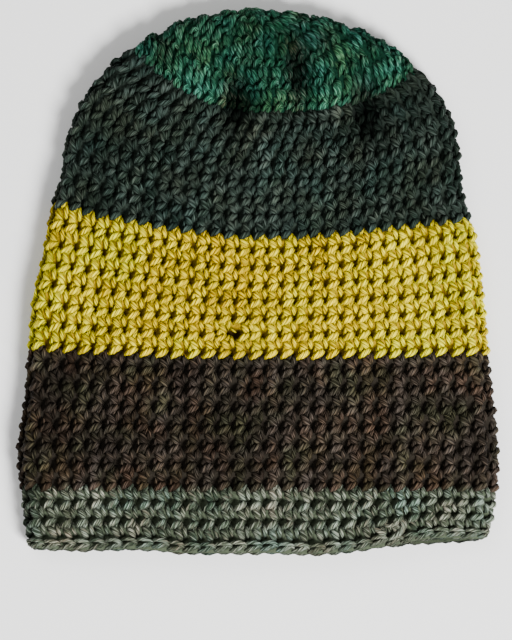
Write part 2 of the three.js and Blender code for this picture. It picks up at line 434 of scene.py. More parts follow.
@dataclass
class FabricChart:
    """The fabric spread flat: part of the way round across, rounds down, and the map back onto the hat."""

    form: HatForm
    first: float = -1.0
    last: float = 30.75
    overlap: float = 0.06
    row_step: float = 0.25
    columns: int = 280
    back_press: float = 0.4
    press_reach: float = 1.1
    shear_limit: float = 0.045

    def __post_init__(self) -> None:
        """Places the whole sheet once, in millimetres, with its outward directions."""
        self.numbers = np.arange(self.first, self.last + 1e-6, self.row_step)
        self.parts = np.linspace(-0.5 - self.overlap, 0.5 + self.overlap, self.columns + 1)
        wrapped = (self.parts + 0.5) % 1.0 - 0.5
        rows = []
        for number in self.numbers:
            part, points = self.form.ring(number if abs(number) > 1e-6 else 1e-3)
            rows.append(np.column_stack([np.interp(wrapped, part, points[:, i]) for i in range(3)]))
        self.points = np.array(rows)
        down = np.gradient(self.points, axis=0)
        right = np.gradient(self.points, axis=1)
        normal = np.cross(down, right)
        normal = normal / np.maximum(np.linalg.norm(normal, axis=2, keepdims=True), 1e-9)
        self.normals = normal

    def outward(self) -> np.ndarray:
        """Gives the outward directions, shortened where the back layer's stitches are pressed flat."""
        up = smooth_step((self.normals[..., 2:3] + 1) / self.press_reach)
        return self.normals * (self.back_press + (1 - self.back_press) * up)

    def chart(self) -> np.ndarray:
        """Lays the sheet out flat.

        Returns:
            Each place's chart coordinates, both from 0 to 1.
        """
        across = (self.parts - self.parts[0]) / (self.parts[-1] - self.parts[0])
        down = (self.numbers - self.first) / (self.numbers[-1] - self.first)
        grid = np.meshgrid(across, down)
        return np.dstack([grid[0], grid[1], np.zeros_like(grid[0])])

    def scale(self) -> tuple[Vector, Vector]:
        """Measures the chart.

        Returns:
            The offset and the scale that take parts and rounds to chart coordinates.
        """
        width = self.parts[-1] - self.parts[0]
        height = self.numbers[-1] - self.first
        return Vector((-self.parts[0], -self.first, 0)), Vector((1 / width, 1 / height, 0))

    def upright(self, places: np.ndarray, share: float) -> np.ndarray:
        """Measures the shear that turns stitches from their columns towards the hat's height.

        Args:
            places: parts of the way round with rounds, one row for each stitch.
            share: how much of the turn is made.

        Returns:
            Each stitch's shear, in parts of the way round for each round down.
        """
        row = np.clip((places[:, 1] - self.first) / self.row_step, 1, len(self.numbers) - 2).astype(int)
        column = ((places[:, 0] - self.parts[0]) / (self.parts[1] - self.parts[0])).astype(int)
        down = (self.points[row + 1, column] - self.points[row - 1, column]) / (2 * self.row_step)
        across = (self.points[row, column + 1] - self.points[row, column]) / (self.parts[1] - self.parts[0])
        level = down[:, 0] * across[:, 0]
        turn = -level / np.maximum(across[:, 0] ** 2, 1e-3)
        return share * np.clip(turn, -self.shear_limit, self.shear_limit)

    def ground(self) -> bpy.types.Object:
        """Builds the sheet as a mesh that the stitches are laid on, which isn't part of the hat.

        Returns:
            The mesh object, with its chart and outward directions as attributes, in metres.
        """
        rows, columns = self.points.shape[:2]
        index = np.arange(rows * columns).reshape(rows, columns)
        corners = [index[:-1, :-1], index[1:, :-1], index[1:, 1:], index[:-1, 1:]]
        faces = np.stack(corners, axis=-1).reshape(-1, 4)
        mesh = bpy.data.meshes.new("fabric_ground")
        mesh.from_pydata((self.points.reshape(-1, 3) * MM).tolist(), [], faces.tolist())
        # the gathers' depths, carried to the stitches for their painted shade
        hollow = np.repeat(self.form.hollow(self.points)[..., None], 3, axis=2)
        for name, values in (("chart", self.chart()), ("outward", self.outward()), ("hollow", hollow)):
            layer = mesh.attributes.new(name, "FLOAT_VECTOR", "POINT")
            layer.data.foreach_set("vector", values.reshape(-1).astype(np.float32))
        return bpy.data.objects.new("fabric_ground", mesh)

    def at(self, rounds: np.ndarray, parts: np.ndarray, height: np.ndarray) -> np.ndarray:
        """Reads points off the sheet.

        Args:
            rounds: rounds from the crown's centre.
            parts: parts of the way round, from -0.5 to 0.5.
            height: heights above the fabric's middle, in millimetres.

        Returns:
            One row of x, y and z in metres for each.
        """
        row = np.clip((rounds - self.first) / self.row_step, 0, len(self.numbers) - 1.001)
        column = (parts - self.parts[0]) / (self.parts[1] - self.parts[0])
        r, c = row.astype(int), column.astype(int)
        fr, fc = (row - r)[:, None], (column - c)[:, None]

        def blend(grid: np.ndarray) -> np.ndarray:
            """Reads a grid between its four nearest points.

            Args:
                grid: vectors by row and column.

            Returns:
                One vector for each place.
            """
            top = grid[r, c] * (1 - fc) + grid[r, c + 1] * fc
            bottom = grid[r + 1, c] * (1 - fc) + grid[r + 1, c + 1] * fc
            return top * (1 - fr) + bottom * fr

        return (blend(self.points) + blend(self.normals) * height[:, None]) * MM


def linear(red: int, green: int, blue: int) -> tuple[float, float, float, float]:
    """Turns an eight-bit screen colour into the shaders' linear one.

    Args:
        red: from 0 to 255.
        green: from 0 to 255.
        blue: from 0 to 255.

    Returns:
        Red, green, blue and a full alpha.
    """
    parts = [c / 255 for c in (red, green, blue)]
    r, g, b = (c / 12.92 if c <= 0.04045 else ((c + 0.055) / 1.055) ** 2.4 for c in parts)
    return (r, g, b, 1.0)


@dataclass(frozen=True)
class Span:
    """A range of some measure, and the range of shares or tones that it gives."""

    low: float
    high: float
    start: float = 0.0
    end: float = 1.0


DYE_PATCH = Span(0.44, 0.66)
FLECK = Span(0.56, 0.68)
SIDEWARDS = Span(0.035, 0.11)  # metres from the hat's middle
# painted shade and highlight: tint and darkening down the gathers, brightening on the swells between them
GATHER_SHADE_TINT = Span(0.5, 3.0)  # millimetres down a gather
GATHER_SHADE = Span(-1.8, 3.8, 1.5, 0.14)
# painted shade where strands go under, between their plies and on their flanks, ending a little above 1 as
# painted highlight on their tops
SUNK_SHADE = Span(-0.6 * MM, 2.1 * MM, end=1.08)
GROOVE_SHADE = Span(0.0, 0.8)
FLANK_SHADE = Span(0.0, 0.85, end=1.05)
# painted shade on the wall, down its holes and down the gathers
WALL_RISE = Span(-1.6 * MM, 0.6 * MM)
WALL_GATHER_SHADE = Span(0.0, 3.8, 1.0, 0.14)


class Graph:
    """Adds nodes to a shader or geometry tree and joins them."""

    def __init__(self, tree: bpy.types.NodeTree) -> None:
        """Keeps the tree."""
        self.tree = tree

    def join(self, value: Any, socket: Socket) -> None:
        """Gives an input its value.

        Args:
            value: a socket to link it to, or a constant.
            socket: the input.
        """
        if isinstance(value, bpy.types.NodeSocket):
            self.tree.links.new(value, socket)
        else:
            socket.default_value = value

    def add(self, kind: str, inputs: dict[str | int, Any] | None = None, **settings: Any) -> bpy.types.Node:
        """Adds a node.

        Args:
            kind: the node's type.
            inputs: constants or sockets for its inputs, by name or number.
            settings: the node's own settings.

        Returns:
            The node.
        """
        node = self.tree.nodes.new(kind)
        for name, value in settings.items():
            setattr(node, name, value)
        for key, value in (inputs or {}).items():
            self.join(value, node.inputs[key])
        return node

    def typed(self, kind: str, inputs: dict[str, Any], output: str, **settings: Any) -> Socket:
        """Adds a node whose sockets in use depend on its data type.

        Args:
            kind: the node's type.
            inputs: constants or sockets for the inputs in use, by name.
            output: the name of the output in use.
            settings: the node's own settings.

        Returns:
            The output.
        """
        node = self.add(kind, **settings)
        live = {socket.name: socket for socket in node.inputs if socket.enabled}
        for name, value in inputs.items():
            self.join(value, live[name])
        return next(socket for socket in node.outputs if socket.enabled and socket.name == output)

    def math(self, operation: str, a: Any, b: Any = 0.0, c: Any = 0.0) -> Socket:
        """Adds a math node and returns its result."""
        return self.add("ShaderNodeMath", {0: a, 1: b, 2: c}, operation=operation).outputs[0]

    def vector(self, operation: str, a: Any, b: Any = (0.0, 0.0, 0.0)) -> Socket:
        """Adds a vector math node and returns its vector."""
        return self.add("ShaderNodeVectorMath", {0: a, 1: b}, operation=operation).outputs[0]

    def scaled(self, a: Any, factor: Any) -> Socket:
        """Multiplies a vector by a number."""
        return self.add("ShaderNodeVectorMath", {0: a, "Scale": factor}, operation="SCALE").outputs[0]

    def split(self, vector: Any) -> Any:
        """Splits a vector into its X, Y and Z."""
        return self.add("ShaderNodeSeparateXYZ", {0: vector}).outputs

    def merged(self, **parts: Any) -> Socket:
        """Makes a vector of its X, Y and Z, each 0 where it isn't given."""
        return self.add("ShaderNodeCombineXYZ", parts).outputs[0]

    def mesh_value(self, name: str, output: str = "Fac") -> Socket:
        """Reads one of the mesh's own attributes in a material."""
        return self.add("ShaderNodeAttribute", attribute_name=name).outputs[output]

    def noise(self, place: Any, scale: float, detail: float) -> Socket:
        """Adds a noise texture and returns its strength."""
        inputs = {"Vector": place, "Scale": scale, "Detail": detail}
        return self.add("ShaderNodeTexNoise", inputs).outputs["Fac"]

    def ranged(self, value: Any, span: Span) -> Socket:
        """Maps a value's range onto another and clamps it there."""
        inputs = {"Value": value, 1: span.low, 2: span.high, 3: span.start, 4: span.end}
        return self.add("ShaderNodeMapRange", inputs).outputs[0]

    def ramp(self, level: Any, stops: Sequence[tuple[float, Screen]]) -> Socket:
        """Adds a colour ramp.

        Args:
            level: the socket that runs along it.
            stops: its places with their screen colours, in rising order.

        Returns:
            The colour.
        """
        node = self.add("ShaderNodeValToRGB", {"Fac": level})
        elements = node.color_ramp.elements
        for element, (place, colour) in zip(elements, (stops[0], stops[-1])):
            element.position = place
            element.color = linear(*colour)
        for place, colour in stops[1:-1]:
            elements.new(place).color = linear(*colour)
        return node.outputs[0]

    def tinted(self, colour: Any, factors: Factors, share: Any) -> Socket:
        """Multiplies a colour by factors where a share says so.

        Args:
            colour: the colour before.
            factors: for red, green and blue.
            share: how much of the change is made, from 0 to 1.

        Returns:
            The colour after.
        """
        changed = self.vector("MULTIPLY", colour, factors)
        inputs = {"Factor": share, "A": colour, "B": changed}
        return self.typed("ShaderNodeMix", inputs, "Result", data_type="VECTOR")


def new_material(name: str, surface: dict[str, Any]) -> tuple[bpy.types.Material, Graph, Any]:
    """Makes a material.

    Args:
        name: its name.
        surface: constants for its surface shader, by input.

    Returns:
        The material, its nodes and its surface shader's inputs.
    """
    material = bpy.data.materials.new(name)
    material.use_nodes = True
    inputs = material.node_tree.nodes["Principled BSDF"].inputs
    for key, value in surface.items():
        inputs[key].default_value = value
    return material, Graph(material.node_tree), inputs


@dataclass(frozen=True)
class Dye:
    """A second dye that shows in patches: its factors on the yarn's colour, and how fine the patches are."""

    red: float
    green: float
    blue: float
    scale: float
    offset: float

    def over(self, graph: Graph, colour: Any, place: Any) -> Socket:
        """Adds the patches.

        Args:
            graph: the material's nodes.
            colour: the colour without them.
            place: the places on the piece.

        Returns:
            The colour with them.
        """
        moved = graph.vector("ADD", place, (self.offset, self.offset, 0.0))
        share = graph.ranged(graph.noise(moved, self.scale, detail=2.0), DYE_PATCH)
        return graph.tinted(colour, (self.red, self.green, self.blue), share)


@dataclass(frozen=True)
class YarnFinish:
    """Twisted worsted yarn: its colours from the deepest to the lightest fibre, its flecks, its dyes and the
    shade painted on it.
    """

    name: str
    deep: Screen
    base: Screen
    light: Screen
    fleck: Screen
    fleck_share: float = 0.25
    contrast: float = 2.2
    dyes: tuple[Dye, ...] = ()
    sides: Factors = (1.0, 1.0, 1.0)
    # painted shade: colour factors that tint the yarn down the gathers
    painted_gather_shade: Factors = (1.0, 1.0, 1.0)
    # painted shade: the colour's darkest shares where strands go under, between their plies and on their
    # flanks
    sunk: float = 0.6
    groove: float = 0.6
    flank: float = 0.48
    gloss: float = 0.15
    sheen: float = 0.05
    plies: int = 4

    def build(self) -> bpy.types.Material:
        """Builds the yarn's material on the strands' own attributes.

        Returns:
            The material.
        """
        shine = linear(*self.light)
        surface = {
            "Roughness": 0.7,
            "Specular IOR Level": self.gloss,
            "Specular Tint": shine,
            "Sheen Weight": self.sheen,
            "Sheen Roughness": 0.5,
            "Sheen Tint": shine,
        }
        material, graph, inputs = new_material(self.name, surface)
        ply, fibre, drawn = self._twist(graph)
        relief = graph.math("ADD", graph.math("MULTIPLY", ply, RELIEF), graph.math("MULTIPLY", fibre, RELIEF))
        bump = graph.add("ShaderNodeBump", {"Strength": 1.0, "Distance": 0.6 * MM, "Height": relief})
        graph.join(bump.outputs["Normal"], inputs["Normal"])
        graph.join(self._colour(graph, ply, fibre, drawn), inputs["Base Color"])
        return material

    def _twist(self, graph: Graph) -> tuple[Socket, Socket, Socket]:
        """Lays plies and fibres round the strand.

        Args:
            graph: the material's nodes.

        Returns:
            The plies' relief and the fibres' relief, both about 0 to 1, and the fibres' own coordinates.
        """
        around = graph.split(graph.mesh_value("around", "Vector"))
        angle = graph.math("ARCTAN2", around["Y"], around["X"])
        wave = graph.math("COSINE", graph.math("MULTIPLY", angle, self.plies / 2))
        ply = graph.math("POWER", graph.math("ABSOLUTE", wave), PLY_ROUNDNESS)
        run = graph.math("MULTIPLY", graph.mesh_value("along"), FIBRE_RUN)
        shift = graph.math("MULTIPLY_ADD", graph.mesh_value("tone"), TONE_SHIFT, run)
        drawn = graph.merged(X=around["X"], Y=around["Y"], Z=shift)
        return ply, graph.noise(drawn, scale=3.2, detail=2.0), drawn

    def _colour(self, graph: Graph, ply: Any, fibre: Any, drawn: Any) -> Socket:
        """Mixes the yarn's tones.

        Args:
            graph: the material's nodes.
            ply: the plies' relief.
            fibre: the fibres' relief.
            drawn: the fibres' own coordinates.

        Returns:
            The colour.
        """
        place = graph.add("ShaderNodeTexCoord").outputs["Object"]
        drift = graph.noise(place, scale=28.0, detail=1.0)
        level = graph.math("MULTIPLY_ADD", fibre, self.contrast, BASE_LEVEL - self.contrast / 2)
        level = graph.math("MULTIPLY_ADD", graph.mesh_value("tone"), TONE_SWING, level)
        level = graph.math("SUBTRACT", level, (TONE_SWING + DRIFT_SWING) / 2)
        level = graph.math("MULTIPLY_ADD", drift, DRIFT_SWING, level)
        colour = graph.ramp(level, ((0.0, self.deep), (BASE_LEVEL, self.base), (LIGHT_LEVEL, self.light)))
        share = graph.ranged(graph.noise(drawn, scale=1.7, detail=1.0), replace(FLECK, end=self.fleck_share))
        flecks = {"Factor": share, "A": colour, "B": linear(*self.fleck)}
        colour = graph.typed("ShaderNodeMix", flecks, "Result", data_type="RGBA")
        for dye in self.dyes:
            colour = dye.over(graph, colour, place)
        across = graph.math("ABSOLUTE", graph.split(place)["X"])
        colour = graph.tinted(colour, self.sides, graph.ranged(across, SIDEWARDS))
        # painted shade: the tint down the gathers, then the shade factor from _depth
        colour = graph.tinted(colour, self.painted_gather_shade, graph.ranged(graph.mesh_value("hollow"), GATHER_SHADE_TINT))
        return graph.scaled(colour, self._depth(graph, ply))

    def _depth(self, graph: Graph, ply: Any) -> Socket:
        """Paints shade on the yarn where it goes under, on its flanks, between its plies and down the
        gathers, with a little painted highlight on its tops and on the swells.

        Args:
            graph: the material's nodes.
            ply: the plies' relief.

        Returns:
            The factor on the colour.
        """
        sunk = graph.ranged(graph.mesh_value("height"), replace(SUNK_SHADE, start=self.sunk))
        grooved = graph.ranged(ply, replace(GROOVE_SHADE, start=self.groove))
        flank = graph.ranged(graph.mesh_value("lift"), replace(FLANK_SHADE, start=self.flank))
        painted_gather_shade = graph.ranged(graph.mesh_value("hollow"), GATHER_SHADE)
        shaded = graph.math("MULTIPLY", flank, graph.math("MULTIPLY", sunk, grooved))
        return graph.math("MULTIPLY", painted_gather_shade, shaded)


@dataclass(frozen=True)
class WallFinish:
    """The yarn behind the visible strands: matted fibres, with painted shade that darkens them down the holes
    and in the gathers.
    """

    name: str
    # deep: painted shade at the bottom of the holes; base: the wall's own colour at its top
    deep: Screen
    base: Screen

    def build(self) -> bpy.types.Material:
        """Builds the material on the wall's own height.

        Returns:
            The material.
        """
        material, graph, inputs = new_material(self.name, {"Roughness": 1.0, "Specular IOR Level": 0.1})
        noise = graph.noise(graph.add("ShaderNodeTexCoord").outputs["Object"], scale=700.0, detail=3.0)
        # painted shade: the wall darkens from the base to the deep colour down its holes, and further down
        # the gathers
        risen = graph.ranged(graph.mesh_value("height"), WALL_RISE)
        level = graph.math("MULTIPLY", risen, graph.math("MULTIPLY_ADD", noise, MAT_SWING, MAT_FLOOR))
        colour = graph.ramp(level, ((0.1, self.deep), (1.0, self.base)))
        painted_gather_shade = graph.ranged(graph.mesh_value("hollow"), WALL_GATHER_SHADE)
        bump = graph.add("ShaderNodeBump", {"Strength": 0.8, "Distance": MM, "Height": noise})
        graph.join(graph.scaled(colour, painted_gather_shade), inputs["Base Color"])
        graph.join(bump.outputs["Normal"], inputs["Normal"])
        return material


@dataclass(frozen=True)
class Knot:
    """One bend of a strand: across in stitch widths, down in rounds, up and radius in millimetres."""

    across: float
    down: float
    up: float
    radius: float


@dataclass(frozen=True)
class Strand:
    """One visible length of yarn in a stitch, from where it comes up to where it goes under."""

    knots: tuple[Knot, ...]
    steps: int

    @classmethod
    def through(cls, steps: int, *rows: tuple[float, float, float, float]) -> Strand:
        """Makes a strand of so many steps from its bends' across, down, up and radius."""
        return cls(tuple(Knot(*row) for row in rows), steps)

    def sample(self, jitter: np.random.Generator, amount: float) -> np.ndarray:
        """Runs a smooth line through the bends.

        Args:
            jitter: where the small differences between stitches come from.
            amount: how large they are.

        Returns:
            One row of across, down, up and radius for each point of the line.
        """
        knots = np.array([[k.across, k.down, k.up, k.radius] for k in self.knots])
        knots[:, :2] += jitter.normal(0, WHOLE_SHIFT * amount, 2)
        knots[:, :2] += jitter.normal(0, BEND_SHIFT * amount, knots[:, :2].shape)
        knots[1:-1, 2] += jitter.normal(0, LIFT_CHANGE * amount)
        knots[:, 3] *= 1 + jitter.normal(0, THICKNESS_CHANGE * amount)
        padded = np.vstack([2 * knots[0] - knots[1], knots, 2 * knots[-1] - knots[-2]])
        at = np.linspace(0, len(knots) - 1, self.steps + 1)
        i = np.minimum(at.astype(int), len(knots) - 2)
        s = (at - i)[:, None]
        a, b, c, d = padded[i], padded[i + 1], padded[i + 2], padded[i + 3]
        cubic = (2 * a - 5 * b + 4 * c - d) * s**2 + (3 * b - a - 3 * c + d) * s**3
        return 0.5 * (2 * b + (c - a) * s + cubic)


OVAL = Strand.through(
    5,
    (-0.13, -0.46, -0.4, 1.1), (-0.08, -0.3, 0.6, 1.65), (0.03, -0.11, 1.2, 1.9), (0.13, 0.07, 1, 1.7),
    (0.19, 0.2, -0.2, 1.15),
)
LEAF = Strand.through(
    5,
    (0.4, -0.6, -0.3, 0.7), (0.42, -0.46, 1.1, 1.1), (0.46, -0.27, 1.8, 1.25), (0.5, -0.08, 1.2, 1.05),
    (0.52, 0.05, -0.3, 0.65),
)
LEFT_LEG = Strand.through(
    3,
    (0.04, -0.34, -0.1, 0.9), (0.12, -0.44, 0.6, 1.15), (0.22, -0.55, 0.7, 1.15), (0.29, -0.68, -0.1, 0.85),
)
LUMP = Strand.through(
    3,
    (-0.1, -0.06, 0, 0.95), (-0.2, 0.13, 1.2, 1.35), (-0.21, 0.34, 0.3, 1.1),
)
WEDGE = Strand.through(
    7,
    (-0.44, 0.63, -0.2, 0.7), (-0.32, 0.54, 1, 1.18), (-0.15, 0.45, 1.9, 1.55), (0.02, 0.36, 2.2, 1.74),
    (0.17, 0.26, 1.9, 1.64), (0.27, 0.21, 0.85, 1.25), (0.32, 0.28, -0.4, 0.85),
)
BEAD = Strand.through(
    7,
    (-0.41, 0.62, -0.2, 0.7), (-0.3, 0.54, 1, 1.2), (-0.15, 0.45, 1.9, 1.58), (0.01, 0.36, 2.2, 1.75),
    (0.15, 0.27, 1.9, 1.62), (0.24, 0.22, 0.8, 1.25), (0.28, 0.28, -0.4, 0.85),
)
TALL_LEAF = Strand.through(
    6,
    (0.13, -0.54, 0, 0.7), (0.26, -0.48, 1.3, 1.02), (0.35, -0.35, 2.1, 1.2), (0.36, -0.18, 1.8, 1.15),
    (0.34, -0.04, 0.8, 0.9), (0.33, 0.04, -0.3, 0.6),
)
TALL_LEG = Strand.through(
    5,
    (-0.16, -0.47, -0.3, 0.7), (-0.13, -0.36, 1.1, 1.05), (-0.1, -0.18, 1.7, 1.2), (-0.1, -0.02, 0.9, 0.95),
    (-0.08, 0.06, -0.3, 0.65),
)
TALL_BODY = Strand.through(
    4,
    (0.04, -0.14, 0, 0.75), (0.12, 0, 1.1, 1.15), (0.18, 0.13, 1.1, 1.15), (0.22, 0.25, -0.2, 0.75),
)
TALL_SIDE = Strand.through(
    3,
    (-0.42, -0.16, -0.2, 0.7), (-0.36, 0, 0.9, 1), (-0.32, 0.18, 0.7, 1), (-0.3, 0.3, -0.3, 0.7),
)
TALL_LOOP = Strand.through(
    5,
    (-0.3, 0.56, -0.1, 0.7), (-0.16, 0.4, 1.4, 1), (0, 0.27, 2, 1.15), (0.14, 0.26, 1.6, 1.05),
    (0.22, 0.38, 0.2, 0.8),
)
TALL_LUMP = Strand.through(
    4,
    (0.16, 0.58, 0, 0.7), (0.24, 0.46, 1.2, 1), (0.34, 0.34, 1.1, 1), (0.4, 0.26, 0, 0.7),
)
UPPER_ARM = Strand.through(
    6,
    (-0.6, 0.1, 0.2, 0.8), (-0.26, 0.04, 1.3, 1.1), (0.1, 0.06, 1.8, 1.25), (0.36, 0.16, 1.4, 1.2),
    (0.44, 0.28, 0.1, 0.85),
)
LOWER_ARM = Strand.through(
    6,
    (0.46, 0.2, 0, 0.8), (0.22, 0.29, 1.1, 1.2), (-0.1, 0.39, 1.1, 1.3), (-0.42, 0.47, 0.4, 1.15),
    (-0.7, 0.5, -0.6, 0.8),
)
HEM_ROLL = Strand.through(
    5,
    (-0.54, 0.44, -1.4, 0.9), (-0.18, 0.52, -1, 1.3), (0.2, 0.54, -1, 1.3), (0.54, 0.46, -1.5, 0.9),
)
RIDGE = Strand.through(
    4,
    (-0.52, 0.52, -1.5, 0.8), (-0.2, 0.44, -2.3, 1.05), (0.2, 0.46, -2.3, 1.05), (0.52, 0.56, -1.5, 0.8),
)
RIGHT_POST = Strand.through(
    3,
    (-0.22, -0.4, -1.5, 0.8), (-0.14, 0, -2.2, 1), (-0.04, 0.38, -1.5, 0.8),
)
LEFT_POST = Strand.through(
    3,
    (0.3, -0.4, -1.5, 0.8), (0.2, 0, -2.2, 1), (0.1, 0.38, -1.5, 0.8),
)
SHORT_LEAF = Strand.through(
    5,
    (0.38, -0.6, -0.3, 0.7), (0.38, -0.44, 1.1, 1.15), (0.38, -0.28, 1.6, 1.3), (0.36, -0.12, 0.8, 1.1),
    (0.32, 0, -0.3, 0.7),
)
SHORT_WEDGE = Strand.through(
    6,
    (-0.45, 0.64, -0.2, 0.7), (-0.3, 0.56, 1.1, 1.2), (-0.12, 0.48, 1.8, 1.4), (0.05, 0.4, 1.8, 1.4),
    (0.16, 0.3, 1, 1.2), (0.2, 0.16, -0.2, 0.85),
)
STRAY = Strand.through(
    5,
    (0.5, -0.16, 0.4, 0.4), (0.62, -0.08, 1.8, 0.55), (0.76, 0.02, 1.9, 0.55), (0.9, 0.06, 0.8, 0.35),
)
TAIL = Strand.through(
    6,
    (-0.9, -0.52, 0.2, 0.8), (-0.72, -0.32, 2, 1.15), (-0.48, -0.12, 2.7, 1.45), (-0.24, 0.03, 2.8, 1.75),
    (-0.06, 0.11, 2.4, 1.95),
)
LAST_LOOP = Strand.through(
    10,
    (0.78, -0.95, -0.3, 0.8), (0.98, -0.6, 1.6, 1.3), (1.08, -0.18, 2.3, 1.5), (0.9, 0.2, 2.1, 1.5),
    (0.46, 0.38, 1.5, 1.3), (-0.06, 0.48, 0, 0.9),
)
CROSSING = Strand.through(
    8,
    (-0.26, -0.72, -0.1, 0.8), (-0.04, -0.44, 1.3, 1), (0.3, -0.38, 2.1, 1.15), (0.58, -0.56, 2.6, 1.35),
    (0.68, -0.8, 0.4, 1),
)
SLIP = Strand.through(
    4,
    (0.3, -0.34, 0.2, 0.85), (0.5, -0.13, 1.7, 1.15), (0.7, 0.1, 0.2, 0.85),
)


class StitchKind(Enum):
    """The stitches that the hat is made of, each as its strands."""

    TALL = (TALL_LEAF, TALL_LEG, TALL_BODY, TALL_SIDE, TALL_LOOP, TALL_LUMP)
    PLAIN = (OVAL, LEAF, LEFT_LEG, LUMP, WEDGE)
    OPEN = (OVAL, LEAF, LEFT_LEG, BEAD)
    LAST = (OVAL, LEAF, LEFT_LEG)
    EDGE = (UPPER_ARM, LOWER_ARM, HEM_ROLL)
    WRONG_SIDE = (RIDGE, RIGHT_POST, LEFT_POST)
    LOOSE = (OVAL, SHORT_LEAF, LEFT_LEG, LUMP, SHORT_WEDGE, STRAY)
    FASTENED = (TAIL, LAST_LOOP, CROSSING, SLIP)
    BEADED = (OVAL, SHORT_LEAF, LEFT_LEG, LUMP, BEAD)


@dataclass
class StitchLibrary:
    """A few slightly different examples of each kind of stitch, as bare lines."""

    seed: int = 41
    examples: int = 7

    def collection(self, kind: StitchKind) -> bpy.types.Collection:
        """Draws the examples of one kind.

        Args:
            kind: the kind of stitch.

        Returns:
            A collection of line meshes, across in widths, down in rounds and up in metres.
        """
        looseness = TALL_LOOSENESS if kind is StitchKind.TALL else 1.0
        jitter = np.random.default_rng(self.seed + list(StitchKind).index(kind))
        group = bpy.data.collections.new(f"stitches_{kind.name.lower()}")
        for number in range(self.examples):
            points, edges = [], []
            for strand in kind.value:
                line = strand.sample(jitter, looseness)
                start = sum(len(p) for p in points)
                edges += [(start + i, start + i + 1) for i in range(len(line) - 1)]
                points.append(line)
            rows = np.vstack(points)
            mesh = bpy.data.meshes.new(f"{kind.name.lower()}_{number}")
            mesh.from_pydata((rows[:, :3] * (1, 1, MM)).tolist(), edges, [])
            thickness = mesh.attributes.new("thickness", "FLOAT", "POINT")
            thickness.data.foreach_set("value", (rows[:, 3] * MM).astype(np.float32))
            group.objects.link(bpy.data.objects.new(mesh.name, mesh))
        return group


@dataclass
class Spots:
    """Where the stitches of one piece lie.

    Each has its part of the way round with its round, its share of the round as its width, and its shear, in
    parts of the way round for each round down.
    """

    places: np.ndarray
    widths: np.ndarray
    skews: np.ndarray


@dataclass(frozen=True)
class Feel:
    """How a piece's yarn is worked."""

    thickness: float = 1.0  # against the examples'
    wander: float = 0.03  # how far stitches stray, in stitches
    ply_lay: float = 11.5 * MM  # length of yarn in which its plies turn once
    ply_depth: float = 0.2  # of the grooves between the plies, in strand radii


